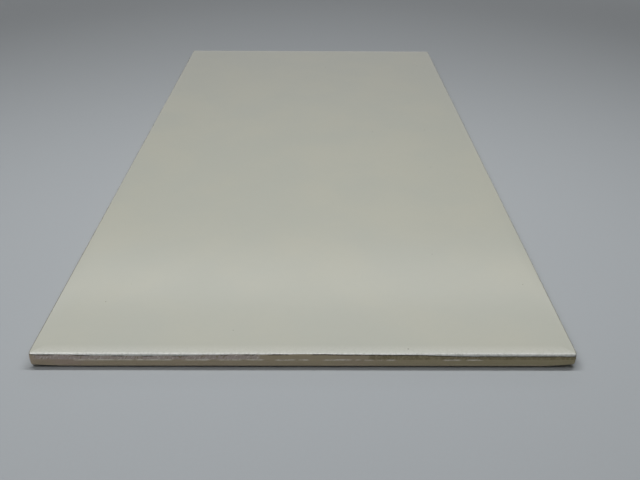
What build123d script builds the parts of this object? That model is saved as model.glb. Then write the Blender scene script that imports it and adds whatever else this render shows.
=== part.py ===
"""Ceramic wall tile, dry-pressed and fired as one piece, lying on its back with the glazed face up.

Millimetres. X runs across the tile, Y along it and Z up. The origin is the centre of the
plane that the back ribs rest on.
"""

import math
import os

from build123d import *

# Plan size over the ridge of the edge, and thickness from the rib crests to the glazed face
tile_width = 300.0
tile_length = 600.0
tile_thickness = 10.0
corner_radius = 2.0

# Edge section: the flanks lean in above and below the ridge that the two halves of the die leave
ridge_depth = 4.2
upper_draft = 4.0
lower_draft = 1.5
face_edge_radius = 1.1
back_bevel_height = 1.3
back_bevel_width = 0.5

# Keying relief on the back: a grid of raised ribs, set in from the edge
rib_height = 1.0
rib_width = 3.0
rib_draft = 35.0
rib_pitch = 35.0
rib_margin = 9.0
rib_corner_radius = 4.0

# The underside rises towards each corner, over a run measured along the diagonal
corner_ease_height = 1.4
corner_ease_run = 14.0

# Sizes that follow from the ones above
down = (0, 0, -1)
ridge_height = tile_thickness - ridge_depth
bevel_top = rib_height + back_bevel_height
bevel_angle = math.degrees(math.atan2(back_bevel_width, back_bevel_height))
face_corner_radius = corner_radius - ridge_depth * math.tan(math.radians(upper_draft))
rib_run = rib_height * math.tan(math.radians(rib_draft))
foot_width = tile_width - 2 * rib_margin
foot_length = tile_length - 2 * rib_margin
grid_width = foot_width - 2 * rib_run - rib_width
grid_length = foot_length - 2 * rib_run - rib_width
cells_across = max(1, round(grid_width / rib_pitch))
cells_along = max(1, round(grid_length / rib_pitch))
cell_width = grid_width / cells_across
cell_length = grid_length / cells_along
ease_reach = 2 * corner_ease_run
ease_rise = corner_ease_height * (1 + ease_reach / corner_ease_run)

with BuildPart() as wall_tile:
    # Pressed body: the outline at the ridge, drawn up to the face and down to the back
    with BuildSketch(Plane.XY.offset(ridge_height)) as ridge_outline:
        RectangleRounded(tile_width, tile_length, corner_radius)
    extrude(amount=ridge_depth, taper=upper_draft)
    extrude(ridge_outline.sketch, amount=ridge_height - bevel_top, dir=down, taper=lower_draft)
    bevel_outline = wall_tile.faces().sort_by(Axis.Z)[0]
    extrude(bevel_outline, amount=back_bevel_height, dir=down, taper=bevel_angle)

    # Cushioned rim of the glazed face, no rounder than its corners
    face_outline = wall_tile.edges().group_by(Axis.Z)[-1]
    fillet(face_outline, radius=min(face_edge_radius, 0.9 * face_corner_radius))

    # Slab that the ribs are left standing in, drafted all round
    with BuildSketch(Plane.XY.offset(rib_height)):
        RectangleRounded(foot_width, foot_length, rib_corner_radius)
    extrude(amount=rib_height, dir=down, taper=rib_draft)

    # Eased back corners: a shallow wedge taken from under each one
    for side in (-1, 1):
        for end in (-1, 1):
            outward = Vector(side, end, 0).normalized()
            corner = Vector(side * tile_width / 2, end * tile_length / 2, rib_height)
            with BuildSketch(Plane(corner, x_dir=outward, z_dir=outward.cross(Vector(0, 0, 1)))):
                with BuildLine():
                    Polyline(
                        (-corner_ease_run, 0),
                        (ease_reach, ease_rise),
                        (ease_reach, -2 * rib_height),
                        (-corner_ease_run, -2 * rib_height),
                        close=True,
                    )
                make_face()
            extrude(amount=ease_reach, both=True, mode=Mode.SUBTRACT)

    # Drafted pockets between the ribs
    with BuildSketch(Plane.XY):
        with GridLocations(cell_width, cell_length, cells_across, cells_along):
            Rectangle(cell_width - rib_width, cell_length - rib_width)
    extrude(amount=rib_height, taper=rib_draft, clean=False, mode=Mode.SUBTRACT)

wall_tile.part.label = "wall_tile"
os.makedirs("parts", exist_ok=True)
export_step(wall_tile.part, "parts/wall_tile.step")
print("volume mm3", round(wall_tile.part.volume), "cells", cells_across, "by", cells_along)
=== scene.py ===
"""Glazed wall tile: the looks of a pressed ceramic tile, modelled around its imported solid.

The file is laid out as a Blender add-on and is run as a script. Lengths are metres in the part's
own frame: X runs across the tile, Y along it, and Z up from the plane that the back ribs rest on.
"""

import math
from collections import namedtuple

import bmesh
import bpy
from bpy.props import FloatProperty, FloatVectorProperty, IntProperty, PointerProperty
from mathutils import Matrix, Vector, noise


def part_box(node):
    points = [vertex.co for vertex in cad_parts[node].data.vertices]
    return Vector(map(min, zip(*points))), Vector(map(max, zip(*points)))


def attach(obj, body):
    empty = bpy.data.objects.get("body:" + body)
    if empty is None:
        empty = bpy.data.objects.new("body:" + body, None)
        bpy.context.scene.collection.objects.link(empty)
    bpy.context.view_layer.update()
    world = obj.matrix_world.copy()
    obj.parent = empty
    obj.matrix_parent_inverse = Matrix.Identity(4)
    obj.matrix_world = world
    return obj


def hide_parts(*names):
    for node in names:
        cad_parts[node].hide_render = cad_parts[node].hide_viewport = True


bl_info = {
    "name": "Glazed Wall Tile",
    "version": (1, 0, 0),
    "blender": (4, 5, 0),
    "location": "3D View > Sidebar > Wall Tile",
    "description": "Models and finishes a pressed and glazed wall tile, and sets a stage for it",
    "category": "Object",
}

MM = 0.001
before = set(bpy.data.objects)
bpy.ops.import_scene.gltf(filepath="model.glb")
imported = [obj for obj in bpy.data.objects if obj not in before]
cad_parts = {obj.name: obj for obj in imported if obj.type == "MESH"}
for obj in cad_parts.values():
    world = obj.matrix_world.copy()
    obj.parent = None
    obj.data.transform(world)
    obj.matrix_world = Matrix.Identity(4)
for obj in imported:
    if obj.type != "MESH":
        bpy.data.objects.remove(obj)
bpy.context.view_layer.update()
TILE_LOW, TILE_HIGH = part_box("wall_tile")
TILE_SIZE = TILE_HIGH - TILE_LOW

# Marks on the near edge, as stretches along X in millimetres
RIDGE_CHALK = (
    (-125, -93), (-91, -72), (-66, -51), (-47, -34), (-31, -22), (-15, -5), (-2, 3),
    (11, 26), (29, 31), (34, 38), (41, 43), (46, 50), (77, 86), (90, 98),
)
# Stretches of dark dirt and painted shade under the glaze's lip
LIP_DIRT_AND_SHADE = (
    (-150, -136), (-125, -116), (-104, -98), (-88, -82), (-71, -63), (-45, -41), (-32, -26),
    (-19, -8), (5, 150),
)
FLANK_FILM = ((-147, -24),)
# Stretch of painted shade on the near flank below the lip
FLANK_SHADE = ((36, 152),)

# How much lower the glaze's lip hangs at places along that edge, also in millimetres
LIP_HANG = (
    (-150, 0.25), (-134, 0.25), (-108, 0.95), (-79, 0.92), (-32, 0.20), (6, -0.05), (50, 0.25),
    (98, 1.12), (150, 1.12),
)

# Waves of the lip's ragged line, of the ridge and of the chipped lower arris: their spacing and
# depth, also in millimetres
RAGGED_LIP = ((17.0, 0.12), (4.5, 0.13), (1.6, 0.08))
UNEVEN_RIDGE = ((14.0, 0.12),)
CHIPPED_ARRIS = ((26.0, 0.15), (5.0, 0.08))

# Spacing and depth of the bare body's grain
GRAIN_SPACING = 1.3 * MM
GRAIN_DEPTH = 0.03 * MM

# How strongly the painted shade darkens the rim of the left and the right side
SIDE_SHADE_LEFT, SIDE_SHADE_RIGHT = 1.0, 0.6

# Values that keep the noise of each irregularity apart from the others
LIP_SEED, RIDGE_SEED, GRAIN_SEED, CHIP_SEED, MARK_SEED = 1.37, 4.71, 7.23, 11.59, 15.83

BLACK, WHITE = (0.0, 0.0, 0.0), (1.0, 1.0, 1.0)


def length(name, millimetres, description):
    """A length that a user may change, given in millimetres and kept in metres."""
    metres = millimetres * MM
    return FloatProperty(name=name, description=description, default=metres, unit="LENGTH", precision=5)


def angle(name, degrees, description):
    """An angle that a user may change, given in degrees."""
    turn = math.radians(degrees)
    return FloatProperty(name=name, description=description, default=turn, subtype="ANGLE")


def colour(name, rgb, description):
    """A linear colour that a user may change."""
    return FloatVectorProperty(
        name=name, description=description, default=rgb, subtype="COLOR", min=0, max=1
    )


def share(name, value, description):
    """A share from 0 to 1 that a user may change."""
    return FloatProperty(
        name=name, description=description, default=value, subtype="FACTOR", min=0, max=1
    )


def number(name, value, description):
    """A plain number that a user may change."""
    return FloatProperty(name=name, description=description, default=value, min=0)


def count(name, value, description):
    """A count that a user may change."""
    return IntProperty(name=name, description=description, default=value, min=1)


def watts(name, value, description):
    """A lamp's power that a user may change."""
    return FloatProperty(name=name, description=description, default=value, unit="POWER")


def spot(name, metres, description):
    """A place that a user may change, in metres."""
    return FloatVectorProperty(name=name, description=description, default=metres, subtype="TRANSLATION")


def extent(name, metres, description):
    """The two sides of a lamp that a user may change, in metres."""
    return FloatVectorProperty(name=name, description=description, default=metres, size=2, unit="LENGTH")


class TileSizes(bpy.types.PropertyGroup):
    """Sizes of the tile's edge section and back relief, the same as its solid's"""

    corner_radius: length("Corner radius", 2.0, "Radius of the plan's corners at the ridge")
    ridge_depth: length("Ridge depth", 4.2, "From the glazed face down to the ridge that the die leaves")
    upper_draft: angle("Upper draft", 4.0, "Lean of the flank above the ridge")
    lower_draft: angle("Lower draft", 1.5, "Lean of the flank below the ridge")
    rim_radius: length("Rim radius", 1.1, "Radius of the glazed face's cushioned rim")
    bevel_height: length("Bevel height", 1.3, "Height of the bevel round the back")
    bevel_width: length("Bevel width", 0.5, "Width of the bevel round the back")
    rib_height: length("Rib height", 1.0, "How far the back's ribs stand out")
    rib_width: length("Rib width", 3.0, "Width of a rib's crest")
    rib_draft: angle("Rib draft", 35.0, "Lean of a rib's sides")
    rib_margin: length("Rib margin", 9.0, "From the ridge in to the foot of the outermost ribs")
    rib_corner_radius: length("Rib field corner radius", 4.0, "Radius of the rib field's corners")
    pocket_corner_radius: length("Pocket corner radius", 2.2, "Radius of the corners between two ribs")
    arris_radius: length("Arris radius", 0.3, "Radius of the ribs' rounded arrises")
    cells_across: count("Cells across", 8, "Pockets across the back")
    cells_along: count("Cells along", 17, "Pockets along the back")
    ease_height: length("Corner ease height", 1.4, "How far the underside rises at each corner")
    ease_run: length("Corner ease run", 14.0, "Length of that rise along the corner's diagonal")
    corner_lift: length("Corner lift", 0.7, "How much more the underside rises at the near right corner")
    column_step: length("Column step", 1.0, "Spacing of the mesh columns round the edge")
    lip_run: length("Lip run", 1.10, "From the start of the rim to the glaze's lower lip, at the least")
    lip_stand: length("Lip stand", 0.05, "How far the lip stands proud of the bare body")
    lip_undercut: length("Lip undercut", 0.10, "How far the bare body lies behind the lip")


class GlazeFinish(bpy.types.PropertyGroup):
    """Colours and gloss of the glaze, and of the painted highlight and painted shade on its rims"""

    cream: colour("Cream", (0.465, 0.473, 0.416), "Main colour of the glaze")
    ivory: colour("Ivory", (0.481, 0.483, 0.417), "Warmer patches in the glaze")
    dapple: colour("Dapple", (0.420, 0.420, 0.360), "Faint darker dapple in the glaze")
    # Whiter glaze on the rim, brightened further as a painted highlight: it is painted only on the rims
    # that face -Y
    rim: colour("Rim", (0.840, 0.840, 0.800), "Whiter glaze that gathers on the rim")
    # Painted shade: a dark colour on the rims of the long sides, which turn away from the light
    side_rim_shade: colour("Thin", (0.200, 0.185, 0.140), "Body that shows through the long sides' thin glaze")
    speck: colour("Speck", (0.200, 0.185, 0.150), "Specks and pinholes")
    roughness: share("Roughness", 0.12, "Mean roughness of the satin glaze")


class BiscuitFinish(bpy.types.PropertyGroup):
    """Colours of the bare fired body and of the marks on it, among them dirt and painted shade under the
    lip and painted shade on the near flank
    """

    buff: colour("Buff", (0.525, 0.435, 0.308), "Main colour of the fired body")
    olive: colour("Olive", (0.430, 0.380, 0.225), "Darker firing towards one long side")
    rose: colour("Rose", (0.535, 0.420, 0.335), "Warmer patches")
    pit: colour("Pit", (0.300, 0.245, 0.165), "Pores between the grains")
    grit: colour("Grit", (0.620, 0.530, 0.400), "Pale grains")
    chalk: colour("Chalk", (0.900, 0.860, 0.760), "Rubbed streaks along the ridge")
    film: colour("Film", (0.560, 0.475, 0.455), "Brushed film of glaze dust on the flank below the lip")
    # Dark colour of the film's darker strokes and of the painted shade on the right of the near flank
    stain_and_shade: colour("Stain", (0.215, 0.180, 0.090), "Darker patches on the flank below the lip")
    # Dark dirt and painted shade under the glaze's lip, where the lip shades the body
    lip_dirt_and_shade: colour("Grime", (0.075, 0.060, 0.040), "Dark dirt held under the glaze's lip")
    wash: colour("Kiln wash", (0.640, 0.620, 0.580), "Pale kiln wash on the rib crests")


class StageSettings(bpy.types.PropertyGroup):
    """Floor, lights and camera"""

    floor_colour: colour("Floor", (0.393, 0.417, 0.436), "Colour of the plain floor")
    floor_size: length("Floor size", 12000, "Side of the floor")
    backdrop: colour("Backdrop", (0.245, 0.260, 0.272), "Tone of the far floor and the room behind it")
    fade_start: length("Fade start", 600, "How far off the floor starts to turn into the backdrop")
    fade_end: length("Fade end", 1500, "How far off the floor has turned into the backdrop")
    fade_share: share("Fade share", 0.8, "How much of the backdrop's tone the far floor gives of itself")
    ambient: number("Ambient", 0.06, "Strength of the light from all round")
    key_power: watts("Key power", 4.1, "Power of the lamp overhead")
    key_place: spot("Key place", (0.03, -0.14, 0.70), "Centre of the lamp overhead")
    key_size: extent("Key size", (0.80, 0.03), "Length and width of the lamp overhead")
    soft_power: watts("Soft power", 4.2, "Power of the soft light in front")
    soft_place: spot("Soft place", (-0.50, -0.62, 1.10), "Centre of the soft light in front")
    soft_size: extent("Soft size", (0.70, 0.60), "Width and depth of the soft light in front")
    rear_power: watts("Rear power", 0.70, "Power of the lamp behind the tile")
    rear_place: spot("Rear place", (0.0, 0.60, 0.60), "Centre of the lamp behind the tile")
    rear_size: extent("Rear size", (0.80, 0.10), "Length and width of the lamp behind the tile")
    panel_near: length("Panel distance", 2000, "Y of the panel behind the tile")
    panel_top: length("Panel top", 1610, "Height of that panel's upper border")
    panel_width: length("Panel width", 4000, "Width of that panel")
    panel_power: number("Panel power", 0.95, "Brightness at its upper border")
    panel_low: share("Panel foot", 0.52, "Brightness at the panel's foot, as a share of its power")
    camera_place: spot("Camera place", (0.00645, -0.59779, 0.25707), "Where the camera stands")
    camera_down: angle("Camera down", 30.456, "How far the camera looks down")
    camera_turn: angle("Camera turn", 0.433, "How far the camera turns to the right")
    camera_roll: angle("Camera roll", 0.36, "How far the camera is tipped to the left")
    camera_focus: number("Focal length", 1.0972, "Focal length in image widths")


class WallTileSettings(bpy.types.PropertyGroup):
    """Everything that a user may change"""

    sizes: PointerProperty(type=TileSizes)
    glaze: PointerProperty(type=GlazeFinish)
    biscuit: PointerProperty(type=BiscuitFinish)
    stage: PointerProperty(type=StageSettings)


class Signal:
    """A socket that a node gives, with arithmetic that adds Math nodes to its tree."""

    def __init__(self, tree, socket):
        self.tree = tree
        self.socket = socket

    def math(self, operation, first, second):
        node = self.tree.nodes.new("ShaderNodeMath")
        node.operation = operation
        for place, value in enumerate((first, second)):
            if isinstance(value, Signal):
                self.tree.links.new(value.socket, node.inputs[place])
            else:
                node.inputs[place].default_value = value
        return Signal(self.tree, node.outputs[0])

    def __add__(self, other):
        return self.math("ADD", self, other)

    def __sub__(self, other):
        return self.math("SUBTRACT", self, other)

    def __rsub__(self, other):
        return self.math("SUBTRACT", other, self)

    def __mul__(self, other):
        return self.math("MULTIPLY", self, other)

    __radd__ = __add__
    __rmul__ = __mul__


class Finish:
    """A material or world under construction: its node tree and the ways to add to it."""

    def __init__(self, block):
        self.block = block
        self.block.use_nodes = True
        self.tree = self.block.node_tree
        self.tree.nodes.clear()

    def node(self, kind, settings, sockets, output=0):
        """Adds a node: its settings are set first, then its sockets are given values or links."""
        node = self.tree.nodes.new(kind)
        for name, value in settings.items():
            setattr(node, name, value)
        for name, value in sockets.items():
            if isinstance(value, Signal):
                self.tree.links.new(value.socket, node.inputs[name])
            else:
                node.inputs[name].default_value = value
        return Signal(self.tree, node.outputs[output]) if node.outputs else None

    def place(self, steps=(1.0, 1.0, 1.0), lean=0.0):
        """Object coordinates, counted in steps of so many millimetres that may lean over sideways."""
        at = self.node("ShaderNodeTexCoord", {}, {}, "Object")
        sockets = {"Vector": at, "Rotation": (0.0, lean, 0.0), "Scale": [step * MM for step in steps]}
        return self.node("ShaderNodeMapping", {"vector_type": "TEXTURE"}, sockets)

    def axis(self, name):
        """One of the object coordinates, in millimetres."""
        return self.node("ShaderNodeSeparateXYZ", {}, {0: self.place()}, name)

    def noise(self, size, detail=2.0, roughness=0.5, stretch=(1.0, 1.0, 1.0), lean=0.0):
        """Cloudy noise from 0 to 1 whose blobs are about size millimetres across, or stretched."""
        place = self.place([size * s for s in stretch], lean)
        sockets = {"Vector": place, "Scale": 1.0, "Detail": detail, "Roughness": roughness}
        return self.node("ShaderNodeTexNoise", {}, sockets)

    def specks(self, spacing, portion, radius):
        """Round specks, up to a radius: a portion of the cells of a plan grid have one."""
        plan = {"voronoi_dimensions": "2D"}
        cell = {"Vector": self.place((spacing, spacing, spacing)), "Scale": 1.0}
        centre = self.node("ShaderNodeTexVoronoi", plan, cell, "Position")
        chosen = self.node("ShaderNodeTexWhiteNoise", {}, {"Vector": centre})
        reach = self.rise(chosen, 1 - portion, 1.0) * (radius / spacing)
        apart = self.node("ShaderNodeTexVoronoi", plan, cell, "Distance") - reach
        return 1 - self.rise(apart, -0.4 * radius / spacing, 0.0)

    def rise(self, value, low, high):
        """A smooth step from 0 at low to 1 at high."""
        sockets = {"Value": value, "From Min": low, "From Max": high}
        return self.node("ShaderNodeMapRange", {"interpolation_type": "SMOOTHSTEP"}, sockets)

    def mix(self, factor, first, second):
        """One colour over another."""
        first, second = (c if isinstance(c, Signal) else (*c, 1.0) for c in (first, second))
        sockets = {0: factor, 6: first, 7: second}
        return self.node("ShaderNodeMix", {"data_type": "RGBA"}, sockets, 2)

    def attribute(self, name):
        """A number painted on the mesh."""
        return self.node("ShaderNodeAttribute", {"attribute_name": name}, {}, "Fac")

    def bump(self, height, distance, below=None):
        """A normal from a height, with another bump below it."""
        sockets = {"Height": height, "Distance": distance}
        if below is not None:
            sockets["Normal"] = below
        return self.node("ShaderNodeBump", {}, sockets)

    def seen(self):
        """1 where the camera looks, also by way of a mirror or glass, and 0 where light is gathered."""
        camera = self.node("ShaderNodeLightPath", {}, {}, "Is Camera Ray")
        glossy = self.node("ShaderNodeLightPath", {}, {}, "Is Glossy Ray")
        through = self.node("ShaderNodeLightPath", {}, {}, "Is Transmission Ray")
        return camera + glossy + through

    def surface(self, sockets):
        """Ends the tree with a Principled shader."""
        shader = self.node("ShaderNodeBsdfPrincipled", {}, sockets)
        self.node("ShaderNodeOutputMaterial", {}, {"Surface": shader})
        return self.block


def satin_glaze(look):
    """Cream satin glaze with faint clouds, a few specks, the fine waves of a fired surface, a whiter rim
    with a painted highlight on the near side, and painted shade on the long sides' rims.
    """
    make = Finish(bpy.data.materials.new("satin_glaze"))
    tone = make.mix(make.rise(make.noise(55.0, 3.0), 0.35, 0.70), look.cream, look.ivory)
    tone = make.mix(make.rise(make.noise(4.0, 3.0), 0.35, 0.75) * 0.06, tone, look.dapple)
    beads = make.rise(make.noise(1.7, 3.0, 0.6), 0.30, 0.60)
    # Whiter glaze and painted highlight on the rims that face -Y
    tone = make.mix(make.attribute("rim") * (0.50 + 0.45 * beads), tone, look.rim)
    # Painted shade on the rims of the long sides
    tone = make.mix(make.attribute("side_rim_shade") * (0.7 + 0.3 * beads), tone, look.side_rim_shade)
    speck = make.specks(30.0, 0.22, 0.55)
    tone = make.mix(speck * 0.8, tone, look.speck)
    smear = make.noise(24.0, 4.0, stretch=(1.0, 2.8, 1.0))
    ripple = make.bump(make.noise(3.2), 0.006 * MM)
    return make.surface({
        "Base Color": tone,
        "Roughness": look.roughness + (smear - 0.5) * 0.08,
        "IOR": 1.5,
        "Normal": make.bump(1 - speck, 0.02 * MM, ripple),
    })


def fired_biscuit(look):
    """Bare fired body: buff and grainy, with the marks that are painted on the mesh, among them dark dirt
    and painted shade under the lip, and painted shade on the right of the near flank.
    """
    make = Finish(bpy.data.materials.new("fired_biscuit"))
    drift = make.noise(38.0, 3.0)
    tone = make.mix(make.rise(drift, 0.50, 0.72), look.buff, look.rose)
    tone = make.mix(make.rise(make.axis("X"), -80, 170) * 0.8, tone, look.olive)
    press = make.noise(0.55, stretch=(16.0, 16.0, 1.0))
    tone = make.mix(make.rise(press, 0.45, 0.80) * 0.35, tone, look.pit)
    grain = make.noise(0.55, 3.0, 0.7)
    tone = make.mix(make.rise(grain, 0.52, 0.75) * 0.35, tone, look.pit)
    tone = make.mix(make.rise(grain, 0.46, 0.25) * 0.30, tone, look.grit)

    film = make.attribute("film")
    strokes = make.noise(1.2, 3.0, 0.65, stretch=(0.8, 1.0, 2.0), lean=math.radians(35))
    tone = make.mix(film * make.rise(strokes, 0.32, 0.50) * 0.80, tone, look.film)
    tone = make.mix(film * make.rise(strokes, 0.54, 0.68) * 0.60, tone, look.chalk)
    tone = make.mix(film * make.rise(strokes, 0.44, 0.32) * 0.60, tone, look.stain_and_shade)
    patch = make.noise(1.6, 3.0, 0.65)
    # Painted shade in patches on the right of the near flank
    tone = make.mix(make.attribute("stain_and_shade") * make.rise(patch, 0.20, 0.70) * 0.8, tone, look.stain_and_shade)
    broken = make.noise(0.8, 4.0, 0.7, stretch=(5.0, 5.0, 1.0))
    tone = make.mix(make.attribute("chalk") * make.rise(broken, 0.36, 0.56) * 0.9, tone, look.chalk)
    tone = make.mix(make.attribute("worn") * make.rise(patch, 0.25, 0.55) * 0.8, tone, look.grit)
    # Dark dirt and painted shade under the glaze's lip
    tone = make.mix(make.attribute("lip_dirt_and_shade") * make.rise(patch, 0.26, 0.46) * 0.95, tone, look.lip_dirt_and_shade)
    crest = make.rise(make.axis("Z"), 0.22, 0.02) * make.rise(make.noise(7.0, 4.0, 0.6), 0.38, 0.60)
    tone = make.mix(crest * 0.7, tone, look.wash)
    relief = make.bump(make.noise(2.4, 3.0), 0.06 * MM, make.bump(grain, 0.05 * MM))
    return make.surface({
        "Base Color": tone,
        "Roughness": 0.86 + (grain - 0.5) * 0.2,
        "Specular IOR Level": 0.25,
        "Normal": relief,
    })


# Material slots of the tile, and the marks that are painted on its mesh
GLAZE, BISCUIT = 0, 1
MARK_NAMES = ("rim", "side_rim_shade", "chalk", "lip_dirt_and_shade", "film", "stain_and_shade", "worn")

# Places at which the edge's section changes, and a ring of the mesh between two of them
RIM, LIP, RIDGE, BEVEL, FOOT = range(5)
Ring = namedtuple("Ring", "mark share out grain finish")

# Fineness of the mesh
CORNER_STEPS = 8
RIM_STEPS = 12
FACE_CELLS = (24, 48)
FACE_GAP = 8 * MM
FOLD_ANGLE = math.radians(20)
SHARP_ANGLE = math.radians(50)

# Radius that is left of a corner where the edge ends under the tile, and how near two places are the same
CORNER_REST = 0.05 * MM
SAME_PLACE = 0.01 * MM


def wander(point, spacing, seed):
    """Smooth noise from -1 to 1 round the tile's outline."""
    return noise.noise(Vector((point.x / (spacing * MM), point.y / (spacing * MM), seed)))


def waves(point, parts, seed):
    """Waves of several spacings and depths, added up."""
    return sum(depth * MM * wander(point, spacing, seed) for spacing, depth in parts)


def soft_step(value, low, high):
    """A smooth step from 0 at low to 1 at high."""
    t = min(1.0, max(0.0, (value - low) / (high - low)))
    return t * t * (3 - 2 * t)


def is_near(point):
    """Whether a place on the outline is on the near edge."""
    return point.y < TILE_SIZE.y / -2 + 1 * MM


def lip_hang(point):
    """How much lower the glaze's lip hangs at a place on the outline, in millimetres."""
    if not is_near(point):
        return 0.8 * soft_step(wander(point, 70, LIP_SEED), -0.3, 0.5)
    x = point.x / MM
    for (start, low), (stop, high) in zip(LIP_HANG, LIP_HANG[1:]):
        if x <= stop:
            return low + (high - low) * soft_step(x, start, stop)
    return LIP_HANG[-1][1]


class Section:
    """Path of the edge's section from the border of the face round to the border of the back.

    A point of the path is how far it lies in from the outline and how high. Lengths along the path
    start at the rim of the face.
    """

    def __init__(self, sizes):
        self.sizes = sizes
        top, ridge = TILE_SIZE.z, TILE_SIZE.z - sizes.ridge_depth
        bevel = sizes.rib_height + sizes.bevel_height
        sweep = math.pi / 2 - sizes.upper_draft
        radius = sizes.rim_radius
        shoulder = sizes.ridge_depth * math.tan(sizes.upper_draft) + radius * math.tan(sweep / 2)
        foot = (ridge - bevel) * math.tan(sizes.lower_draft)
        heel = foot + sizes.bevel_width
        border = sizes.corner_radius - CORNER_REST
        turns = [sweep * step / RIM_STEPS for step in range(RIM_STEPS + 1)]
        arc = [(shoulder - radius * math.sin(t), top - radius * (1 - math.cos(t))) for t in turns]
        rest = [(0, ridge), (foot, bevel), (heel, sizes.rib_height), (border, sizes.rib_height)]
        self.path = [Vector(p) for p in arc + rest]
        self.lengths = [0.0]
        for start, stop in zip(self.path, self.path[1:]):
            self.lengths.append(self.lengths[-1] + (stop - start).length)

    def at(self, along, out):
        """The point at a length along the path, moved out from it."""
        place = next((i for i, stop in enumerate(self.lengths[1:]) if along <= stop), len(self.path) - 2)
        start, stop = self.path[place], self.path[place + 1]
        step = (stop - start).normalized()
        return start + step * (along - self.lengths[place]) + Vector((step.y, -step.x)) * out

    def marks(self, point):
        """Lengths of the path at which it changes, at a place on the outline: they wander a little."""
        ridge, bevel, foot, end = self.lengths[-4:]
        lip = self.sizes.lip_run + lip_hang(point) * MM + waves(point, RAGGED_LIP, LIP_SEED)
        ridge += waves(point, UNEVEN_RIDGE, RIDGE_SEED)
        bevel += waves(point, CHIPPED_ARRIS, CHIP_SEED)
        return 0.0, lip, ridge, bevel, foot, end


def edge_rings(sizes):
    """The rings of the edge, from the rim of the face to the back.

    Each row has the mark that its rings follow, their shares of the way to the next mark, how far
    they stand out, how grainy they are, and the finish above them.
    """
    stand, hollow = sizes.lip_stand, sizes.lip_undercut
    rows = (
        (RIM, (0.0, 0.14, 0.28, 0.42, 0.56, 0.70), 0.0, 0.0, GLAZE),
        (RIM, (0.84,), 0.4 * stand, 0.0, GLAZE),
        (RIM, (0.96,), stand, 0.0, GLAZE),
        (LIP, (0.0,), 0.5 * stand, 0.0, GLAZE),
        (LIP, (0.01,), -hollow, 0.0, BISCUIT),
        (LIP, (0.06,), -0.8 * hollow, 0.5, BISCUIT),
        (LIP, (0.14,), -0.4 * hollow, 1.0, BISCUIT),
        (LIP, (0.26, 0.38, 0.50, 0.62, 0.74, 0.84), -0.03 * MM, 1.0, BISCUIT),
        (LIP, (0.92,), -0.03 * MM, 0.6, BISCUIT),
        (LIP, (0.97,), -0.01 * MM, 0.3, BISCUIT),
        (RIDGE, (0.0,), 0.0, 0.0, BISCUIT),
        (RIDGE, (0.04,), -0.02 * MM, 0.3, BISCUIT),
        (RIDGE, (0.10,), -0.05 * MM, 0.6, BISCUIT),
        (RIDGE, (0.25, 0.42, 0.59, 0.76, 0.90), -0.05 * MM, 1.0, BISCUIT),
        (BEVEL, (0.0,), -0.09 * MM, 0.6, BISCUIT),
        (BEVEL, (0.12,), -0.04 * MM, 0.6, BISCUIT),
        (BEVEL, (0.5,), -0.02 * MM, 1.0, BISCUIT),
        (BEVEL, (0.86,), -0.04 * MM, 0.6, BISCUIT),
        (FOOT, (0.0,), -0.08 * MM, 0.0, BISCUIT),
        (FOOT, (0.15,), -0.01 * MM, 0.0, BISCUIT),
        (FOOT, (1.0,), 0.0, 0.0, BISCUIT),
    )
    return [Ring(mark, way, *rest) for mark, ways, *rest in rows for way in ways]


def outline_loop(bm, sizes):
    """A closed loop of short edges round the plan: a rectangle with rounded corners."""
    made = bmesh.ops.create_grid(bm, x_segments=1, y_segments=1, size=0.5)
    bmesh.ops.scale(bm, vec=(TILE_SIZE.x, TILE_SIZE.y, 1), verts=made["verts"])
    bmesh.ops.bevel(
        bm, geom=made["verts"], offset=sizes.corner_radius, offset_type="OFFSET", affect="VERTICES",
        segments=CORNER_STEPS, profile=0.5, material=-1,
    )
    for run in [edge for edge in bm.edges if edge.calc_length() > 10 * sizes.column_step]:
        cuts = round(run.calc_length() / sizes.column_step) - 1
        bmesh.ops.subdivide_edges(bm, edges=[run], cuts=cuts)
    bmesh.ops.delete(bm, geom=bm.faces[:], context="FACES_ONLY")
    return bm.edges[:]


def eased(point, sizes):
    """Height of the underside at a place in the plan: it rises towards each corner."""
    short = (TILE_SIZE.x / 2 - abs(point.x) + TILE_SIZE.y / 2 - abs(point.y)) / math.sqrt(2)
    rise = sizes.ease_height + (sizes.corner_lift if point.x > 0 > point.y else 0)
    return sizes.rib_height + rise * max(0.0, 1 - short / sizes.ease_run)


def along_marks(point, stretches, spacing, cover):
    """How strongly a mark shows on the outline: in stretches on the near edge, by noise elsewhere."""
    if is_near(point):
        x = point.x / MM
        return max(soft_step(x - low, -1, 1) * soft_step(high - x, -1, 1) for low, high in stretches)
    return soft_step(wander(point, spacing, MARK_SEED), cover, cover + 0.25)


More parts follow.
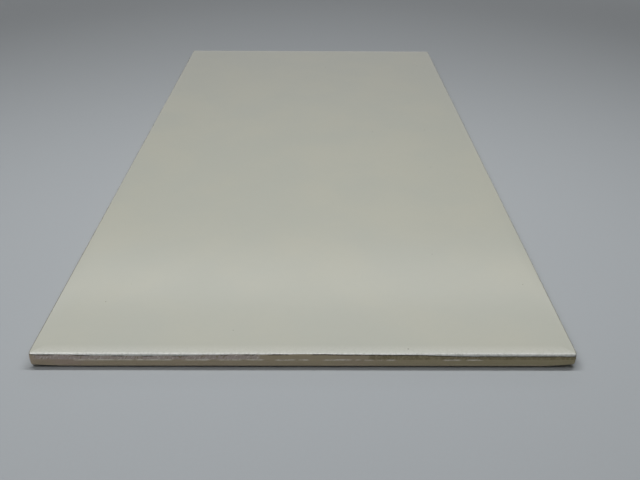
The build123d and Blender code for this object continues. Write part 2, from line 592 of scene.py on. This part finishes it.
def paint_marks(vert, marks, point, outward, along, stops):
    """Paints how strongly each mark of the edge shows at a vertex."""
    below_rim = along / MM
    below_lip = (along - stops[LIP]) / MM
    above_ridge = (stops[RIDGE] - along) / MM
    below_bevel = (along - stops[BEVEL]) / MM
    above_foot = (stops[FOOT] - along) / MM
    turned = soft_step(below_rim, 0.1, 0.6)
    side_shade = SIDE_SHADE_LEFT if outward.x < 0 else SIDE_SHADE_RIGHT
    on_flank = soft_step(below_lip, -0.1, 0.1) * soft_step(above_ridge, 0.1, 0.5)
    on_ridge = 1 - soft_step(abs(above_ridge), 0.15, 0.60)
    under_lip = 1 - soft_step(below_lip, 0.30, 0.80)
    strengths = {
        # Rim: whiter glaze and painted highlight, only where the rim faces -Y
        "rim": (0.26 + 0.74 * turned) * soft_step(-outward.y, 0.6, 0.95),
        # Painted shade on the rims that face the long sides
        "side_rim_shade": turned * side_shade * soft_step(abs(outward.x), 0.5, 0.9),
        "chalk": on_ridge * along_marks(point, RIDGE_CHALK, 17, 0.05),
        # Dark dirt and painted shade under the lip
        "lip_dirt_and_shade": under_lip * along_marks(point, LIP_DIRT_AND_SHADE, 23, 0.0),
        "film": on_flank * along_marks(point, FLANK_FILM, 90, 0.1),
        # Painted shade on the near flank below the lip
        "stain_and_shade": on_flank * along_marks(point, FLANK_SHADE, 60, 0.0),
        "worn": soft_step(below_bevel, -0.3, 0.1) * soft_step(above_foot, 0.0, 0.3),
    }
    for name, strength in strengths.items():
        vert[marks[name]] = strength


def place_ring(verts, ring, section, marks):
    """Moves a loop of the edge to its ring of the section, a little unevenly, and paints its marks."""
    radius = section.sizes.corner_radius
    core = TILE_SIZE.xy / 2 - Vector((radius, radius))
    for vert in verts:
        inner = Vector([min(max(at, -limit), limit) for at, limit in zip(vert.co.xy, core)])
        outward = (vert.co.xy - inner).normalized()
        point = inner + outward * radius
        stops = section.marks(point)
        along = stops[ring.mark] + ring.share * (stops[ring.mark + 1] - stops[ring.mark])
        grit = noise.noise(Vector((*point, along)) / GRAIN_SPACING + Vector((GRAIN_SEED,) * 3))
        inset, height = section.at(along, ring.out + GRAIN_DEPTH * ring.grain * (grit - 0.5))
        vert.co.xy = inner + outward * (radius - max(0.0, inset))
        vert.co.z = max(height, eased(vert.co, section.sizes)) if ring.mark >= RIDGE else height
        paint_marks(vert, marks, point, outward, along, stops)


def edge_band(bm, sizes, marks):
    """The whole edge: a loop drawn down through the rings of the section. Returns both end loops."""
    section = Section(sizes)
    rings = edge_rings(sizes)
    first = outline_loop(bm, sizes)
    place_ring({vert for edge in first for vert in edge.verts}, rings[0], section, marks)
    loop = first
    for ring in rings[1:]:
        drawn = bmesh.ops.extrude_edge_only(bm, edges=loop)["geom"]
        place_ring([g for g in drawn if isinstance(g, bmesh.types.BMVert)], ring, section, marks)
        for face in (g for g in drawn if isinstance(g, bmesh.types.BMFace)):
            face.material_index = ring.finish
        loop = [g for g in drawn if isinstance(g, bmesh.types.BMEdge) and g.is_boundary]
    return first, loop


def grid_of(bm, across, along, width, depth, height):
    """A flat grid of cells, centred on the origin's axis. Returns its faces."""
    made = bmesh.ops.create_grid(bm, x_segments=across, y_segments=along, size=0.5)
    bmesh.ops.scale(bm, vec=(width, depth, 1), verts=made["verts"])
    bmesh.ops.translate(bm, vec=(0, 0, height), verts=made["verts"])
    return list({face for vert in made["verts"] for face in vert.link_faces})


def border_of(faces):
    """The open edges of some faces."""
    return list({edge for face in faces for edge in face.edges if edge.is_boundary})


def glazed_face(bm, border):
    """The flat face: a coarse grid joined to the border of the edge."""
    width, depth = (side - 2 * FACE_GAP for side in TILE_SIZE.xy)
    cells = grid_of(bm, *FACE_CELLS, width, depth, TILE_SIZE.z)
    joined = bmesh.ops.bridge_loops(bm, edges=border_of(cells) + border)["faces"]
    for face in cells + joined:
        face.material_index = GLAZE


def grown(bm, edges, start, stop, rise):
    """Draws a border loop out from one size of rectangle to the next. Returns the new loop."""
    drawn = bmesh.ops.extrude_edge_only(bm, edges=edges)["geom"]
    verts = [g for g in drawn if isinstance(g, bmesh.types.BMVert)]
    bmesh.ops.scale(bm, vec=(stop[0] / start[0], stop[1] / start[1], 1), verts=verts)
    bmesh.ops.translate(bm, vec=(0, 0, rise), verts=verts)
    return [g for g in drawn if isinstance(g, bmesh.types.BMEdge) and g.is_boundary]


def rib_field(bm, sizes):
    """Crossing ribs: a grid of cells, each inset by half a rib and sunk. Returns the field's border."""
    before = set(bm.faces)
    run = sizes.rib_height * math.tan(sizes.rib_draft)
    foot = [side - 2 * sizes.rib_margin for side in TILE_SIZE.xy]
    crest = [side - 2 * run for side in foot]
    grid = [side - sizes.rib_width for side in crest]
    cells = grid_of(bm, sizes.cells_across, sizes.cells_along, grid[0], grid[1], 0)
    bmesh.ops.reverse_faces(bm, faces=cells)
    for inset, sink in ((sizes.rib_width / 2, 0), (run, -sizes.rib_height)):
        bmesh.ops.inset_individual(bm, faces=cells, thickness=inset, depth=sink, use_even_offset=True)
    corners = [e for face in cells for v in face.verts for e in v.link_edges if e not in face.edges[:]]
    round_off(bm, corners, sizes.pocket_corner_radius, 3)

    border = grown(bm, border_of(set(bm.faces) - before), grid, crest, 0)
    border = grown(bm, border, crest, foot, sizes.rib_height)
    slant = [e for edge in border for v in edge.verts for e in v.link_edges if is_corner(e, foot, crest)]
    round_off(bm, list(set(slant)), sizes.rib_corner_radius, 5)

    edges = {edge for face in set(bm.faces) - before for edge in face.edges if edge.is_manifold}
    folds = [e for e in edges if e.calc_face_angle() > FOLD_ANGLE]
    level = [e for e in folds if abs(e.verts[0].co.z - e.verts[1].co.z) < 0.1 * sizes.rib_height]
    round_off(bm, level, sizes.arris_radius, 2)
    made = set(bm.faces) - before
    for face in made:
        face.material_index = BISCUIT
    return border_of(made)


def is_corner(edge, foot, crest):
    """Whether an edge runs from a corner of the crest's rectangle to a corner of the foot's."""
    ends = sorted(edge.verts, key=lambda vert: vert.co.z)
    return all(
        abs(abs(at) - side / 2) < SAME_PLACE
        for vert, sides in zip(ends, (crest, foot))
        for at, side in zip(vert.co.xy, sides)
    )


def round_off(bm, edges, radius, steps):
    """Rounds edges off."""
    bmesh.ops.bevel(
        bm, geom=edges, offset=radius, offset_type="OFFSET", affect="EDGES",
        segments=steps, profile=0.5, material=-1, clamp_overlap=True,
    )


def tile_mesh(sizes):
    """The tile's mesh: its edge, its glazed face and its ribbed back, closed all round."""
    bm = bmesh.new()
    marks = {name: bm.verts.layers.float.new(name) for name in MARK_NAMES}
    face_border, back_border = edge_band(bm, sizes, marks)
    glazed_face(bm, face_border)
    rib_border = rib_field(bm, sizes)
    for face in bmesh.ops.bridge_loops(bm, edges=rib_border + back_border)["faces"]:
        face.material_index = BISCUIT
    bmesh.ops.recalc_face_normals(bm, faces=bm.faces[:])
    for face in bm.faces:
        face.smooth = True
    open_edges = sum(not edge.is_manifold for edge in bm.edges)
    if open_edges:
        raise RuntimeError(f"the tile's mesh has {open_edges} open edges")
    mesh = bpy.data.meshes.new("glazed_tile")
    bm.to_mesh(mesh)
    bm.free()
    mesh.set_sharp_from_angle(angle=SHARP_ANGLE)
    return mesh


class WALLTILE_OT_add_tile(bpy.types.Operator):
    """Model the tile in place of its plain solid and give it its finishes"""

    bl_idname = "wall_tile.add_tile"
    bl_label = "Add Tile"
    bl_options = {"REGISTER", "UNDO"}

    def execute(self, context):
        settings = context.scene.wall_tile
        mesh = tile_mesh(settings.sizes)
        mesh.materials.append(satin_glaze(settings.glaze))
        mesh.materials.append(fired_biscuit(settings.biscuit))
        tile = bpy.data.objects.new("glazed_tile", mesh)
        context.scene.collection.objects.link(tile)
        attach(tile, "root")
        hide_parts("wall_tile")
        return {"FINISHED"}


def matt_floor(stage):
    """Plain matt floor that turns into the backdrop where the lamps no longer reach."""
    make = Finish(bpy.data.materials.new("matt_floor"))
    rgb = stage.floor_colour
    fleck = make.rise(make.noise(2.0, 4.0), 0.3, 0.7)
    tone = make.mix(fleck * 0.05, rgb, [0.8 * part for part in rgb])
    apart = make.node("ShaderNodeVectorMath", {"operation": "LENGTH"}, {0: make.place()}, "Value") * MM
    far = make.rise(apart, stage.fade_start, stage.fade_end)
    return make.surface({
        "Base Color": tone,
        "Roughness": 0.55,
        "Specular IOR Level": 0.5,
        "Emission Color": make.mix(far * make.seen() * stage.fade_share, BLACK, stage.backdrop),
        "Emission Strength": 1.0,
    })


def soft_room(stage):
    """World that gives a little light from all round and looks like a plain pale backdrop."""
    make = Finish(bpy.data.worlds.new("soft_room"))
    light = make.node("ShaderNodeBackground", {}, {"Color": (*WHITE, 1.0), "Strength": stage.ambient})
    backdrop = make.node("ShaderNodeBackground", {}, {"Color": (*stage.backdrop, 1.0)})
    shader = make.node("ShaderNodeMixShader", {}, {0: make.seen(), 1: light, 2: backdrop})
    make.node("ShaderNodeOutputWorld", {}, {"Surface": shader})
    return make.block


def lit_panel(stage):
    """Glowing panel that the glaze mirrors: bright at its upper border, dim below, dark in between."""
    make = Finish(bpy.data.materials.new("lit_panel"))
    height = make.axis("Z") * (MM / stage.panel_top)
    glow = make.rise(height, 0.76, 0.97) + make.rise(height, 0.68, 0.18) * stage.panel_low
    return make.surface({
        "Base Color": (*BLACK, 1.0),
        "Specular IOR Level": 0.0,
        "Emission Color": make.mix(glow, BLACK, WHITE),
        "Emission Strength": stage.panel_power,
    })


def flat_piece(name, matrix, material):
    """A flat square of the stage, one unit wide before its matrix."""
    bm = bmesh.new()
    bmesh.ops.create_grid(bm, x_segments=1, y_segments=1, size=0.5, matrix=matrix)
    mesh = bpy.data.meshes.new(name)
    bm.to_mesh(mesh)
    bm.free()
    mesh.materials.append(material)
    piece = bpy.data.objects.new(name, mesh)
    bpy.context.scene.collection.objects.link(piece)
    return piece


def add_lamp(name, place, target, size, power):
    """A rectangular lamp that faces a target."""
    lamp = bpy.data.lights.new(name, "AREA")
    lamp.shape = "RECTANGLE"
    lamp.size, lamp.size_y = size
    lamp.energy = power
    piece = bpy.data.objects.new(name, lamp)
    piece.location = place
    piece.rotation_euler = (target - Vector(place)).to_track_quat("-Z", "Y").to_euler()
    piece.visible_camera = False
    bpy.context.scene.collection.objects.link(piece)
    return piece


def add_camera(stage):
    """The camera, placed, turned and tipped as in the photograph."""
    camera = bpy.data.objects.new("camera", bpy.data.cameras.new("camera"))
    camera.data.lens = stage.camera_focus * camera.data.sensor_width
    turn = Matrix.Rotation(-stage.camera_turn, 4, "Z")
    tip = Matrix.Rotation(math.pi / 2 - stage.camera_down, 4, "X")
    roll = Matrix.Rotation(stage.camera_roll, 4, "Z")
    camera.matrix_world = Matrix.Translation(stage.camera_place) @ turn @ tip @ roll
    bpy.context.scene.collection.objects.link(camera)
    return camera


class WALLTILE_OT_set_stage(bpy.types.Operator):
    """Set the floor, the lights and the camera"""

    bl_idname = "wall_tile.set_stage"
    bl_label = "Set Stage"
    bl_options = {"REGISTER", "UNDO"}

    def execute(self, context):
        scene, stage = context.scene, context.scene.wall_tile.stage
        scene.view_settings.view_transform = "Standard"

        spread = Matrix.Diagonal((stage.floor_size, stage.floor_size, 1, 1))
        flat_piece("floor", spread, matt_floor(stage))
        sides = Matrix.Diagonal((stage.panel_width, stage.panel_top, 1, 1))
        upright = Matrix.Rotation(math.pi / 2, 4, "X") @ sides
        behind = Matrix.Translation((0, stage.panel_near, stage.panel_top / 2))
        panel = flat_piece("rear_panel", behind @ upright, lit_panel(stage))
        panel.visible_camera = False
        panel.visible_diffuse = False

        below_key, below_rear = (Vector((*at.xy, 0)) for at in (stage.key_place, stage.rear_place))
        near_edge = Vector((0, TILE_LOW.y, 0))
        key = add_lamp("key_lamp", stage.key_place, below_key, stage.key_size, stage.key_power)
        rear = add_lamp("rear_lamp", stage.rear_place, below_rear, stage.rear_size, stage.rear_power)
        add_lamp("soft_lamp", stage.soft_place, near_edge, stage.soft_size, stage.soft_power)
        key.visible_glossy = rear.visible_glossy = False

        scene.world = soft_room(stage)
        scene.camera = add_camera(stage)
        return {"FINISHED"}


class WALLTILE_PT_sidebar(bpy.types.Panel):
    """Lists the steps that make the tile and its stage"""

    bl_idname = "WALLTILE_PT_sidebar"
    bl_label = "Wall Tile"
    bl_space_type = "VIEW_3D"
    bl_region_type = "UI"
    bl_category = "Wall Tile"

    def draw(self, context):
        settings = context.scene.wall_tile
        for operator in (WALLTILE_OT_add_tile, WALLTILE_OT_set_stage):
            self.layout.operator(operator.bl_idname)
        for group in (settings.sizes, settings.glaze, settings.biscuit, settings.stage):
            box = self.layout.box()
            for name in group.__annotations__:
                box.prop(group, name)


CLASSES = (
    TileSizes,
    GlazeFinish,
    BiscuitFinish,
    StageSettings,
    WallTileSettings,
    WALLTILE_OT_add_tile,
    WALLTILE_OT_set_stage,
    WALLTILE_PT_sidebar,
)


def register():
    for cls in CLASSES:
        bpy.utils.register_class(cls)
    bpy.types.Scene.wall_tile = PointerProperty(type=WallTileSettings)


def unregister():
    del bpy.types.Scene.wall_tile
    for cls in reversed(CLASSES):
        bpy.utils.unregister_class(cls)


def main():
    register()
    bpy.ops.wall_tile.add_tile()
    bpy.ops.wall_tile.set_stage()


if __name__ == "__main__":
    main()
